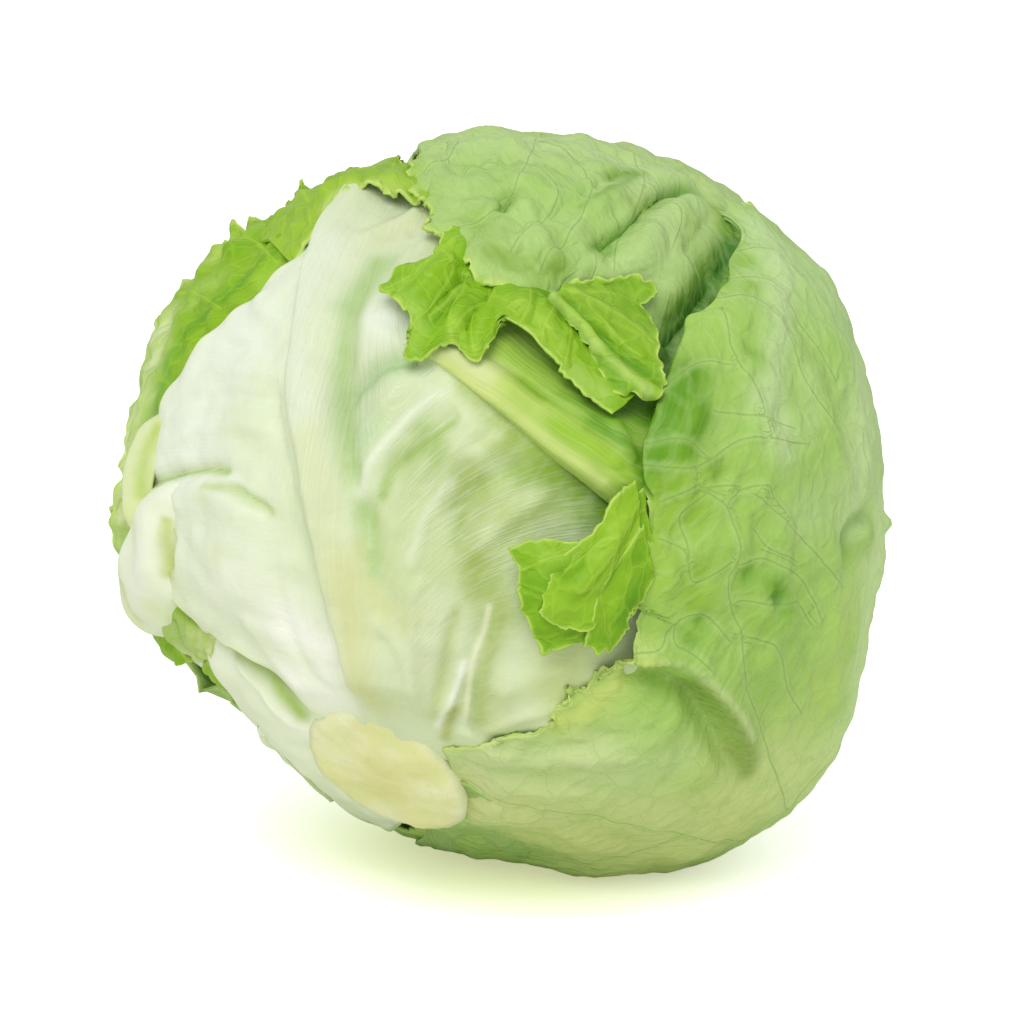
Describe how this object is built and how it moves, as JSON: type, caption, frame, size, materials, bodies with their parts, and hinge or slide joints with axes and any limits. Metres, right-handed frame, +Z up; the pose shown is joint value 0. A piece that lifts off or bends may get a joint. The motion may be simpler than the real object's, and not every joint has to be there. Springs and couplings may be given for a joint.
{
  "type": "iceberg lettuce head",
  "caption": "Whole crisphead lettuce lying on its side: wrapped outer leaves with ribs, veins and ruffled edges round a layered heart, with a cut stem.",
  "frame": {"origin": "on the small flat spot that the head rests on, straight below the middle of the head, on the supporting surface", "axes": "+Z up; the front is -Y, with the cut stem to the front, left and low; +X to the right"},
  "size_m": [0.1639, 0.1541, 0.1555],
  "materials": {
    "cut_stem": "moist cut plant tissue, matt with a slight gloss",
    "green_leaf": "waxy pale green leaf with light veins, soft gloss",
    "pale_leaf": "waxy whitish leaf with a broad ridged midrib, soft gloss",
    "ruffled_leaf": "thin bright green leaf with a ruffled edge, soft gloss",
    "heart_leaf": "thin pale yellow leaf, soft gloss"
  },
  "bodies": {
    "root": {"stem": "cut_stem", "heart_bud": "heart_leaf", "right_leaf": "green_leaf", "top_leaf": "green_leaf", "small_leaf": "ruffled_leaf", "front_leaf": "pale_leaf", "back_leaf": "green_leaf", "left_leaf": "ruffled_leaf", "curled_leaf": "ruffled_leaf", "low_left_leaf": "pale_leaf", "heart_leaf_01": "heart_leaf", "heart_leaf_02": "heart_leaf", "heart_leaf_03": "heart_leaf", "heart_leaf_04": "heart_leaf", "heart_leaf_05": "heart_leaf", "heart_leaf_06": "heart_leaf", "heart_leaf_07": "heart_leaf", "heart_leaf_08": "heart_leaf", "heart_leaf_09": "heart_leaf", "heart_leaf_10": "heart_leaf", "heart_leaf_11": "heart_leaf"}
  },
  "joints": []
}
